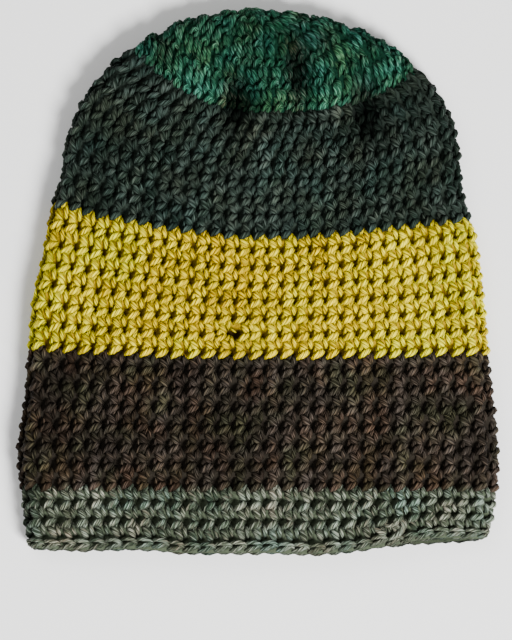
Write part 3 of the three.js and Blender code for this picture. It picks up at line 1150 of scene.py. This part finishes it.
class StitchTree:
    """The Geometry Nodes that lay stitches on the chart, map them onto the hat and give the yarn its body."""

    INPUTS = {
        "Geometry": "Geometry",
        "Ground": "Object",
        "Examples": "Collection",
        "Yarn scale": "Float",
        "Wander": "Float",
        "Ply lay": "Float",
        "Ply depth": "Float",
        "Seed": "Int",
        "Material": "Material",
    }

    def __init__(self, chart: FabricChart, ground: bpy.types.Object, library: StitchLibrary) -> None:
        """Builds the tree once for all the yarns.

        Args:
            chart: the fabric's chart.
            ground: the same fabric as a mesh.
            library: where the examples of each kind of stitch come from.
        """
        self.chart = chart
        self.ground = ground
        self.stitches = {kind: library.collection(kind) for kind in StitchKind}
        self.tree = bpy.data.node_groups.new("crochet", "GeometryNodeTree")
        for name, kind in self.INPUTS.items():
            self.tree.interface.new_socket(name, in_out="INPUT", socket_type=f"NodeSocket{kind}")
        self.tree.interface.new_socket("Geometry", in_out="OUTPUT", socket_type="NodeSocketGeometry")
        self._build(*chart.scale())

    @staticmethod
    def _random(graph: Graph, low: Any, high: Any, seed: Any, kind: str = "FLOAT") -> Socket:
        """Draws a seeded number or vector for each stitch."""
        inputs = {"Min": low, "Max": high, "Seed": seed}
        return graph.typed("FunctionNodeRandomValue", inputs, "Value", data_type=kind)

    @staticmethod
    def _attribute(graph: Graph, name: str, kind: str = "FLOAT") -> Socket:
        """Reads a named attribute."""
        return graph.typed("GeometryNodeInputNamedAttribute", {"Name": name}, "Attribute", data_type=kind)

    @staticmethod
    def _store(
        graph: Graph, geometry: Any, name: str, value: Any, kind: str = "FLOAT", domain: str = "POINT"
    ) -> Socket:
        """Stores a named attribute.

        Args:
            graph: the tree's nodes.
            geometry: the geometry that gets it.
            name: the attribute's name.
            value: the socket that gives its value.
            kind: its data type.
            domain: what it is stored on.

        Returns:
            The geometry with the attribute.
        """
        inputs = {"Geometry": geometry, "Name": name, "Value": value}
        settings = {"data_type": kind, "domain": domain}
        return graph.typed("GeometryNodeStoreNamedAttribute", inputs, "Geometry", **settings)

    def _sample(self, graph: Graph, ground: Any, value: Any, spot: Any) -> Socket:
        """Reads a vector off the ground.

        Args:
            graph: the tree's nodes.
            ground: the ground's mesh.
            value: what is read.
            spot: the chart coordinate to read it at.

        Returns:
            The vector.
        """
        chart = self._attribute(graph, "chart", "FLOAT_VECTOR")
        inputs = {"Mesh": ground, "Value": value, "UV Map": chart, "Sample UV": spot}
        return graph.typed("GeometryNodeSampleUVSurface", inputs, "Value", data_type="FLOAT_VECTOR")

    def _build(self, offset: Vector, scale: Vector) -> None:
        """Joins the nodes.

        Args:
            offset: added to a place on the chart.
            scale: then multiplied with it, which gives the ground's chart coordinates.
        """
        graph = Graph(self.tree)
        given = graph.add("NodeGroupInput").outputs
        ground = graph.add("GeometryNodeObjectInfo", {"Object": given["Ground"]}).outputs["Geometry"]
        laid = self._lay(graph, given)
        place = graph.add("GeometryNodeInputPosition").outputs[0]
        height = graph.split(place)["Z"]
        # the strands' heights, gather depths and facing below are kept for the yarn's painted shade
        laid = self._store(graph, laid, "height", height)
        spot = graph.vector("MULTIPLY", graph.vector("ADD", place, tuple(offset)), tuple(scale))
        base = self._sample(graph, ground, place, spot)
        outward, hollow = (
            self._sample(graph, ground, self._attribute(graph, name, "FLOAT_VECTOR"), spot)
            for name in ("outward", "hollow")
        )
        laid = self._store(graph, laid, "hollow", hollow, "FLOAT_VECTOR")
        straight = graph.vector("NORMALIZE", outward)
        laid = self._store(graph, laid, "away", straight, "FLOAT_VECTOR")
        raised = graph.scaled(outward, graph.math("MAXIMUM", height, 0.0))
        sunk = graph.scaled(straight, graph.math("MINIMUM", height, 0.0))
        target = graph.vector("ADD", base, graph.vector("ADD", raised, sunk))
        moved = graph.add("GeometryNodeSetPosition", {"Geometry": laid, "Position": target}).outputs[0]
        graph.add("NodeGroupOutput", {"Geometry": self._spin(graph, given, moved)})

    def _lay(self, graph: Graph, given: Any) -> Socket:
        """Lays one example on each stitch's place on the chart, as bare lines.

        Args:
            graph: the tree's nodes.
            given: the tree's inputs.

        Returns:
            The lines, realized.
        """
        width, seed = self._attribute(graph, "width"), given["Seed"]
        wander = self._random(graph, (-1, -1, 0), (1, 1, 0), seed, "FLOAT_VECTOR")
        offset = graph.scaled(graph.vector("MULTIPLY", wander, graph.merged(X=width, Y=1.0)), given["Wander"])
        points = {"Geometry": given["Geometry"], "Offset": offset}
        spread = graph.add("GeometryNodeSetPosition", points).outputs[0]
        choice = {"Collection": given["Examples"], "Separate Children": True, "Reset Children": True}
        instances = {
            "Points": spread,
            "Instance": graph.add("GeometryNodeCollectionInfo", choice).outputs[0],
            "Pick Instance": True,
            "Instance Index": self._random(graph, 0, PICKS, seed, "INT"),
            "Scale": graph.merged(X=width, Y=1.0, Z=1.0),
        }
        placed = graph.add("GeometryNodeInstanceOnPoints", instances).outputs[0]
        tone = self._random(graph, 0.0, 1.0, graph.math("ADD", seed, TONE_SEED))
        placed = self._store(graph, placed, "tone", tone, domain="INSTANCE")
        real = graph.add("GeometryNodeRealizeInstances", {"Geometry": placed}).outputs[0]
        down = graph.split(graph.add("GeometryNodeInputPosition").outputs[0])["Y"]
        below = graph.math("SUBTRACT", down, self._attribute(graph, "middle"))
        shift = graph.merged(X=graph.math("MULTIPLY", below, self._attribute(graph, "skew")))
        return graph.add("GeometryNodeSetPosition", {"Geometry": real, "Offset": shift}).outputs[0]

    def _spin(self, graph: Graph, given: Any, lines: Any) -> Socket:
        """Gives the lines a round body with the attributes that the yarn's material reads.

        Args:
            graph: the tree's nodes.
            given: the tree's inputs.
            lines: the strands as bare lines on the hat.

        Returns:
            The finished mesh.
        """
        curves = graph.add("GeometryNodeMeshToCurve", {"Mesh": lines}).outputs[0]
        along = graph.add("GeometryNodeSplineParameter").outputs["Length"]
        curves = self._store(graph, curves, "along", along)
        twist = graph.math("DIVIDE", graph.math("MULTIPLY", along, -TURN), given["Ply lay"])
        curves = graph.add("GeometryNodeSetCurveTilt", {"Curve": curves, "Tilt": twist}).outputs[0]
        ring = {"Resolution": PROFILE_POINTS, "Radius": 1.0}
        circle = graph.add("GeometryNodeCurvePrimitiveCircle", ring).outputs[0]
        place = graph.add("GeometryNodeInputPosition").outputs[0]
        circle = self._store(graph, circle, "around", place, "FLOAT_VECTOR")
        odd = graph.math("MODULO", graph.add("GeometryNodeInputIndex").outputs[0], 2.0)
        dip = graph.math("MULTIPLY", given["Ply depth"], -1.0)
        lobes = graph.scaled(place, graph.math("MULTIPLY_ADD", odd, dip, PLY_CREST))
        circle = graph.add("GeometryNodeSetPosition", {"Geometry": circle, "Position": lobes}).outputs[0]
        thickness = graph.math("MULTIPLY", self._attribute(graph, "thickness"), given["Yarn scale"])
        sweep = {"Curve": curves, "Profile Curve": circle, "Scale": thickness, "Fill Caps": True}
        tubes = graph.add("GeometryNodeCurveToMesh", sweep).outputs[0]
        # how far each tube's surface faces outward, for the shade painted on the strands' flanks
        normal = graph.add("GeometryNodeInputNormal").outputs[0]
        facing = {0: normal, 1: self._attribute(graph, "away", "FLOAT_VECTOR")}
        lift = graph.add("ShaderNodeVectorMath", facing, operation="DOT_PRODUCT").outputs["Value"]
        tubes = self._store(graph, tubes, "lift", lift)
        smooth = graph.add("GeometryNodeSetShadeSmooth", {"Geometry": tubes}).outputs[0]
        real = graph.add("GeometryNodeRealizeInstances", {"Geometry": smooth}).outputs[0]
        dressed = {"Geometry": real, "Material": given["Material"]}
        return graph.add("GeometryNodeSetMaterial", dressed).outputs[0]

    def lay(
        self,
        name: str,
        kind: StitchKind,
        spots: Spots,
        yarn: bpy.types.Material,
        seed: int,
        feel: Feel = Feel(),
    ) -> bpy.types.Object:
        """Makes one piece of stitches as a plain mesh.

        Args:
            name: the piece's name.
            kind: its stitches.
            spots: where they lie.
            yarn: their material.
            seed: for what differs from stitch to stitch.
            feel: how the yarn is worked.

        Returns:
            The piece, linked to the scene.
        """
        mesh = bpy.data.meshes.new(f"{name}_chart")
        mesh.from_pydata(np.column_stack([spots.places, np.zeros(len(spots.places))]).tolist(), [], [])
        for label, values in (("width", spots.widths), ("middle", spots.places[:, 1]), ("skew", spots.skews)):
            mesh.attributes.new(label, "FLOAT", "POINT").data.foreach_set("value", values.astype(np.float32))
        source = bpy.data.objects.new(f"{name}_chart", mesh)
        bpy.context.scene.collection.objects.link(source)
        modifier = source.modifiers.new("crochet", "NODES")
        modifier.node_group = self.tree
        values = {
            "Ground": self.ground,
            "Examples": self.stitches[kind],
            "Yarn scale": feel.thickness,
            "Wander": feel.wander,
            "Ply lay": feel.ply_lay,
            "Ply depth": feel.ply_depth,
            "Seed": seed,
            "Material": yarn,
        }
        for item in self.tree.interface.items_tree:
            if item.in_out == "INPUT" and item.name in values:
                modifier[item.identifier] = values[item.name]
        graph = bpy.context.evaluated_depsgraph_get()
        result = bpy.data.meshes.new_from_object(source.evaluated_get(graph))
        result.name = name
        bpy.data.objects.remove(source)
        piece = bpy.data.objects.new(name, result)
        bpy.context.scene.collection.objects.link(piece)
        return piece


@dataclass
class CrochetWall:
    """The closed wall of matted yarn behind one yarn's stitches, with a hole beside each stitch."""

    chart: FabricChart
    outer: float = 0.7
    inner: float = -2.3
    hole_depth: float = 2.6
    hole_across: float = 0.52
    hole_down: float = 0.65
    hole_width: float = 0.17
    hole_height: float = 0.22
    columns: int = 240
    rows_per_round: int = 4
    cup_start: float = 0.15
    inside_rise: float = 0.35
    inside_ridges: tuple[float, float] = (0.5, 0.2)
    loose_depth: float = 1.15
    loose_spread: tuple[float, float] = (3.4, 1.6)
    loose_shade: float = 3.2
    loose: tuple[float, float] | None = None

    def _outside(self, rounds: np.ndarray, parts: np.ndarray) -> np.ndarray:
        """Measures the outer skin's height, which dips at each hole.

        Args:
            rounds: rounds from the crown's centre.
            parts: parts of the way round.

        Returns:
            Heights above the fabric's middle, in millimetres.
        """
        height = np.full(len(rounds), self.outer)
        for shift in (0, 1):
            number = np.maximum(np.floor(rounds - self.hole_down + 0.5).astype(int) + shift, 1)
            count = np.array([stitches_in(int(n)) for n in number])
            across = ((parts + 0.5) * count - self.hole_across - COLUMN_PHASE) % 1.0 - 0.5
            down = rounds - (number - 1 + self.hole_down)
            dip = np.exp(-((across / self.hole_width) ** 4) - (down / self.hole_height) ** 4)
            height -= self.hole_depth * dip
        loose = self.loose_depth * self.hole_depth * self._gap(rounds, parts)
        return np.minimum(height, self.outer - loose)

    def _gap(self, rounds: np.ndarray, parts: np.ndarray) -> np.ndarray:
        """Measures how far into the loose stitch's hole places lie.

        Args:
            rounds: rounds from the crown's centre.
            parts: parts of the way round.

        Returns:
            Shares from 0 to 1, all 0 where no stitch is loose.
        """
        if self.loose is None:
            return np.zeros(len(rounds))
        wide, tall = self.loose_spread
        across = (parts - self.loose[0]) * FULL_ROUND / (wide * self.hole_width)
        down = (rounds - self.loose[1]) / (tall * self.hole_height)
        return np.exp(-(across**4) - down**4)

    def build(self, name: str, first: float, last: float, material: bpy.types.Material) -> bpy.types.Object:
        """Builds the wall as one closed ring, or a cup at the crown.

        Args:
            name: the piece's name.
            first: the round that it starts from, 0 for the crown's centre.
            last: the round that it ends at.
            material: its finish.

        Returns:
            The piece, linked to the scene.
        """
        cup = first <= 0
        start = self.cup_start if cup else first
        rows = max(2, round((last - start) * self.rows_per_round))
        rounds = np.linspace(start, last, rows + 1)
        parts = np.arange(self.columns) / self.columns - 0.5
        grid_r, grid_p = (g.reshape(-1) for g in np.meshgrid(rounds, parts, indexing="ij"))
        by_round, by_stitch = self.inside_ridges
        ridge = by_round * np.abs(np.sin(math.pi * grid_r))
        ridge = ridge + by_stitch * np.abs(np.sin(math.pi * FULL_ROUND * grid_p))
        heights = [self._outside(grid_r, grid_p), self.inner + self.inside_rise - ridge]
        points = np.vstack([self.chart.at(grid_r, grid_p, height) for height in heights])
        index = np.arange(len(points)).reshape(2, rows + 1, self.columns)
        following = np.roll(index, -1, axis=2)
        outside = [index[0, :-1], index[0, 1:], following[0, 1:], following[0, :-1]]
        inside = [index[1, :-1], following[1, :-1], following[1, 1:], index[1, 1:]]
        rim = [index[0, -1], index[1, -1], following[1, -1], following[0, -1]]
        faces = [np.stack(quads, axis=-1).reshape(-1, 4) for quads in (outside, inside, rim)]
        if not cup:
            top = [following[0, 0], following[1, 0], index[1, 0], index[0, 0]]
            faces.append(np.stack(top, axis=-1))
        polygons = np.vstack(faces).tolist()
        if cup:
            polygons += [index[0, 0].tolist(), index[1, 0, ::-1].tolist()]
        mesh = bpy.data.meshes.new(name)
        mesh.from_pydata(points.tolist(), [], polygons)
        shade = mesh.attributes.new("height", "FLOAT", "POINT")
        shade.data.foreach_set("value", (np.concatenate(heights) * MM).astype(np.float32))
        # painted shade on the wall: the gathers' depth, deepened around the loose stitch's hole
        loose = np.tile(self._gap(grid_r, grid_p), 2)
        depths = self.chart.form.hollow(points / MM) + self.loose_shade * loose
        mesh.attributes.new("hollow", "FLOAT", "POINT").data.foreach_set("value", depths.astype(np.float32))
        mesh.materials.append(material)
        mesh.polygons.foreach_set("use_smooth", np.ones(len(mesh.polygons), bool))
        piece = bpy.data.objects.new(name, mesh)
        bpy.context.scene.collection.objects.link(piece)
        return piece


def stitches_in(number: int) -> int:
    """Counts the stitches of one round."""
    return CROWN_ROUNDS.get(number, FULL_ROUND)


@dataclass(frozen=True)
class OddStitch:
    """A stitch unlike its neighbours: its place, and the columns of its round that it takes the place of."""

    name: str
    kind: StitchKind
    number: int
    column: float
    middle: float
    instead_of: tuple[int, ...]

    def spots(self) -> Spots:
        """Gives its place as that of a piece's only stitch.

        Returns:
            The one spot, which isn't sheared.
        """
        count = stitches_in(self.number)
        part = (self.column + 0.5 + COLUMN_PHASE) / count - 0.5
        return Spots(np.array([[part, self.number - 1 + self.middle]]), np.array([1 / count]), np.zeros(1))


@dataclass
class YarnBand:
    """One yarn's rounds: its stitches, the wall behind them and, near the mouth, its wrong side."""

    node: str
    slot: str
    first: int
    last: int
    yarn: YarnFinish
    wall: WallFinish
    seed: int
    kind: StitchKind = StitchKind.PLAIN
    hole: tuple[float, float] = (0.17, 0.22)
    upright: float = 0.0
    inside_from: int | None = None
    edged: bool = False
    odd: tuple[OddStitch, ...] = ()
    feel: Feel = Feel(wander=0.04)

    def _spots(self, rounds: range, middle: float) -> Spots:
        """Spaces the stitches of some rounds evenly.

        Args:
            rounds: the rounds.
            middle: where in its round a stitch's middle lies.

        Returns:
            The spots, none of them sheared.
        """
        places, widths = [], []
        for number in rounds:
            count = stitches_in(number)
            here = [odd for odd in self.odd if (odd.number, odd.middle) == (number, middle)]
            kept = np.setdiff1d(np.arange(count), [column for odd in here for column in odd.instead_of])
            parts = (kept + 0.5 + COLUMN_PHASE) / count - 0.5
            places.append(np.column_stack([parts, np.full(len(kept), number - 1 + middle)]))
            widths.append(np.full(len(kept), 1 / count))
        shares = np.concatenate(widths)
        return Spots(np.vstack(places), shares, np.zeros(len(shares)))

    def _settle(self, piece: bpy.types.Object) -> None:
        """Hands a piece to the frame.

        Args:
            piece: the finished piece.
        """
        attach(piece, "root")
        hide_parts(self.node)
        LOG.info("%s: %d faces", piece.name, len(piece.data.polygons))

    def _loose_hole(self) -> tuple[float, float] | None:
        """Finds the hole beside the loose stitch.

        Returns:
            Its part of the way round and its round, or None where no stitch is loose.
        """
        for odd in self.odd:
            if odd.kind is StitchKind.LOOSE:
                part, number = odd.spots().places[0] + LOOSE_HOLE
                return float(part), float(number)
        return None

    def _extras(self) -> list[tuple[str, StitchKind, Spots, int]]:
        """Lists the pieces beside the band's own stitches and wall.

        Returns:
            Each one's name, kind of stitch, spots and step from the band's seed.
        """
        extras = []
        if self.inside_from is not None:
            rounds = range(self.inside_from, self.last + 1)
            spots = self._spots(rounds, ROUND_MIDDLE)
            extras.append((f"{self.node}_inside", StitchKind.WRONG_SIDE, spots, 1))
        for step, odd in enumerate(self.odd, ODD_SEED):
            extras.append((odd.name, odd.kind, odd.spots(), step))
        if self.edged:
            rounds = range(self.last, self.last + 1)
            extras.append(("last_round", StitchKind.LAST, self._spots(rounds, STITCH_MIDDLE), 2))
            extras.append(("hem_edge", StitchKind.EDGE, self._spots(rounds, EDGE_MIDDLE), 3))
        return extras

    def build(self, tree: StitchTree) -> None:
        """Builds the band's pieces.

        Args:
            tree: the stitch-laying nodes.
        """
        yarn = self.yarn.build()
        whole, end = (self.last - 1, self.last + EDGE_DROP) if self.edged else (self.last, self.last)
        spots = self._spots(range(self.first, whole + 1), STITCH_MIDDLE)
        spots.skews = tree.chart.upright(spots.places, self.upright)
        self._settle(tree.lay(f"{self.node}_stitches", self.kind, spots, yarn, self.seed, self.feel))
        wide, tall = self.hole
        wall = CrochetWall(tree.chart, hole_width=wide, hole_height=tall, loose=self._loose_hole())
        self._settle(wall.build(f"{self.node}_wall", self.first - 1, end, self.wall.build()))
        for name, kind, spots, step in self._extras():
            self._settle(tree.lay(name, kind, spots, yarn, self.seed + step))


def yarn_bands() -> list[YarnBand]:
    """Lists the five yarns.

    Returns:
        Their bands in working order, from the crown's centre to the hem.
    """
    green = YarnFinish(
        "green_worsted",
        deep=(7, 34, 20), base=(17, 54, 38), light=(70, 122, 95), fleck=(118, 166, 140),
        # painted shade: a redder, less green tint down the gathers
        fleck_share=0.3, contrast=1.9, painted_gather_shade=(1.9, 0.84, 0.95),
        dyes=(Dye(1.25, 0.97, 0.78, 65, 1.0), Dye(0.8, 1.05, 1.3, 60, 2.0), Dye(0.6, 0.6, 0.6, 42, 3.0)),
    )
    forest = YarnFinish(
        "forest_worsted",
        deep=(17, 25, 20), base=(31, 40, 34), light=(67, 79, 73), fleck=(100, 110, 102),
        fleck_share=0.3, contrast=2.0, sunk=0.52, flank=0.45,
        dyes=(Dye(1.12, 1.0, 0.88, 45, 4.0), Dye(0.85, 1.02, 1.05, 50, 5.0), Dye(0.7, 0.7, 0.7, 40, 6.0)),
    )
    mustard = YarnFinish(
        "mustard_worsted",
        deep=(110, 80, 0), base=(194, 169, 0), light=(255, 237, 0), fleck=(255, 247, 60),
        fleck_share=0.3, contrast=2.7, sides=(0.93, 1.02, 0.9), sunk=0.48, groove=0.55, flank=0.3,
        dyes=(Dye(1.0, 0.9, 0.8, 30, 7.0), Dye(0.92, 1.0, 0.8, 36, 8.0)),
    )
    brown = YarnFinish(
        "brown_worsted",
        deep=(21, 18, 14), base=(38, 33, 28), light=(86, 78, 71), fleck=(104, 91, 76),
        fleck_share=0.35, contrast=2.1, sunk=0.46, flank=0.4,
        dyes=(Dye(1.2, 0.95, 0.82, 45, 9.0), Dye(0.85, 1.05, 0.8, 50, 10.0), Dye(0.75, 0.75, 0.78, 40, 11.0)),
    )
    sage = YarnFinish(
        "sage_worsted",
        deep=(20, 27, 17), base=(60, 69, 54), light=(162, 171, 154), fleck=(178, 170, 150),
        fleck_share=0.25, contrast=1.9, sunk=0.48, groove=0.55, flank=0.3,
        dyes=(
            Dye(1.15, 0.95, 0.92, 60, 12.0), Dye(0.82, 1.0, 1.06, 65, 13.0), Dye(0.72, 0.74, 0.74, 45, 14.0),
        ),
    )
    return [
        YarnBand(
            "crown", "crown_yarn", 1, 5, green, WallFinish("green_wall", (3, 27, 16), (6, 40, 27)),
            seed=3, kind=StitchKind.TALL, hole=(0.12, 0.14), upright=0.9, feel=Feel(1.14, 0.05),
        ),
        YarnBand(
            "forest_band", "forest_yarn", 6, 12, forest,
            WallFinish("forest_wall", (29, 37, 31), (35, 44, 38)),
            seed=13, kind=StitchKind.BEADED, hole=(0.21, 0.27), feel=Feel(wander=0.06),
        ),
        YarnBand(
            "mustard_stripe", "mustard_yarn", 13, 19, mustard,
            WallFinish("mustard_wall", (66, 46, 2), (152, 126, 4)),
            seed=23,
            odd=(
                OddStitch("loose_stitch", StitchKind.LOOSE, 18, 26.85, STITCH_MIDDLE, (27,)),
                OddStitch("beside_loose", StitchKind.OPEN, 18, 28.28, STITCH_MIDDLE, (28,)),
            ),
        ),
        YarnBand(
            "brown_band", "brown_yarn", 20, 26, brown, WallFinish("brown_wall", (29, 25, 20), (35, 31, 25)),
            seed=33, kind=StitchKind.BEADED, hole=(0.21, 0.27), inside_from=24,
        ),
        YarnBand(
            "sage_hem", "sage_yarn", 27, 29, sage, WallFinish("sage_wall", (52, 59, 45), (68, 76, 60)),
            seed=43, kind=StitchKind.OPEN, hole=(0.26, 0.32), inside_from=27, edged=True,
            odd=(OddStitch("fastened_off", StitchKind.FASTENED, 29, 37.33, ROUND_MIDDLE, ()),),
        ),
    ]


@dataclass(frozen=True)
class Lamp:
    """A square soft light that faces the hat."""

    name: str
    place: tuple[float, float, float]
    size: float
    watts: float

    def hang(self) -> None:
        """Adds the light to the scene."""
        lamp = bpy.data.lights.new(self.name, "AREA")
        lamp.size = self.size
        lamp.energy = self.watts
        item = bpy.data.objects.new(self.name, lamp)
        item.location = self.place
        item.rotation_euler = (-Vector(self.place)).to_track_quat("-Z", "Y").to_euler()
        bpy.context.scene.collection.objects.link(item)


@dataclass
class Studio:
    """The pale table, the soft lights and the camera above it."""

    distance: float = 2.0
    elevation: float = 85.0
    aim: tuple[float, float, float] = (-0.001, -0.0195, 0.012)
    pixels_per_metre: float = 2000.0
    frame_height: int = 640
    sensor: float = 24.0
    table_size: float = 6.0
    table_colour: tuple[float, float, float, float] = (0.93, 0.93, 0.92, 1)
    world_strength: float = 0.32
    lamps: tuple[Lamp, ...] = (
        Lamp("key", (1.05, -1.45, 1.75), 0.85, 180),
        Lamp("fill", (-0.6, 0.5, 1.5), 1.0, 10),
    )

    def floor(self) -> None:
        """Lays the table under the hat."""
        bpy.ops.mesh.primitive_plane_add(size=self.table_size, location=(0, 0, 0))
        table = bpy.context.object
        table.name = "table"
        table.data.materials.append(
            new_material("table_white", {"Base Color": self.table_colour, "Roughness": 0.8})[0]
        )

    def camera(self) -> None:
        """Sets the camera at the photo's angle, framed as the photo is."""
        lens = bpy.data.cameras.new("camera")
        lens.sensor_fit = "VERTICAL"
        lens.sensor_height = self.sensor
        lens.lens = self.pixels_per_metre * self.distance / self.frame_height * lens.sensor_height
        lens.clip_start = 0.01
        item = bpy.data.objects.new("camera", lens)
        angle = math.radians(self.elevation)
        away = Vector((0, -math.cos(angle), math.sin(angle)))
        item.location = Vector(self.aim) + away * self.distance
        item.rotation_euler = (-away).to_track_quat("-Z", "Y").to_euler()
        bpy.context.scene.collection.objects.link(item)
        bpy.context.scene.camera = item

    def build(self) -> None:
        """Sets the stage."""
        self.floor()
        world = bpy.data.worlds.new("studio")
        world.use_nodes = True
        sky = world.node_tree.nodes["Background"].inputs
        sky["Color"].default_value = (1, 1, 1, 1)
        sky["Strength"].default_value = self.world_strength
        bpy.context.scene.world = world
        for lamp in self.lamps:
            lamp.hang()
        self.camera()


def main() -> None:
    """Builds the hat and its stage."""
    logging.basicConfig(level=logging.INFO, format="%(name)s %(message)s")
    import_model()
    chart = FabricChart(HatForm())
    ground = chart.ground()
    bpy.context.scene.collection.objects.link(ground)
    tree = StitchTree(chart, ground, StitchLibrary())
    for band in yarn_bands():
        band.build(tree)
    bpy.data.objects.remove(ground)
    Studio().build()


if __name__ == "__main__":
    main()
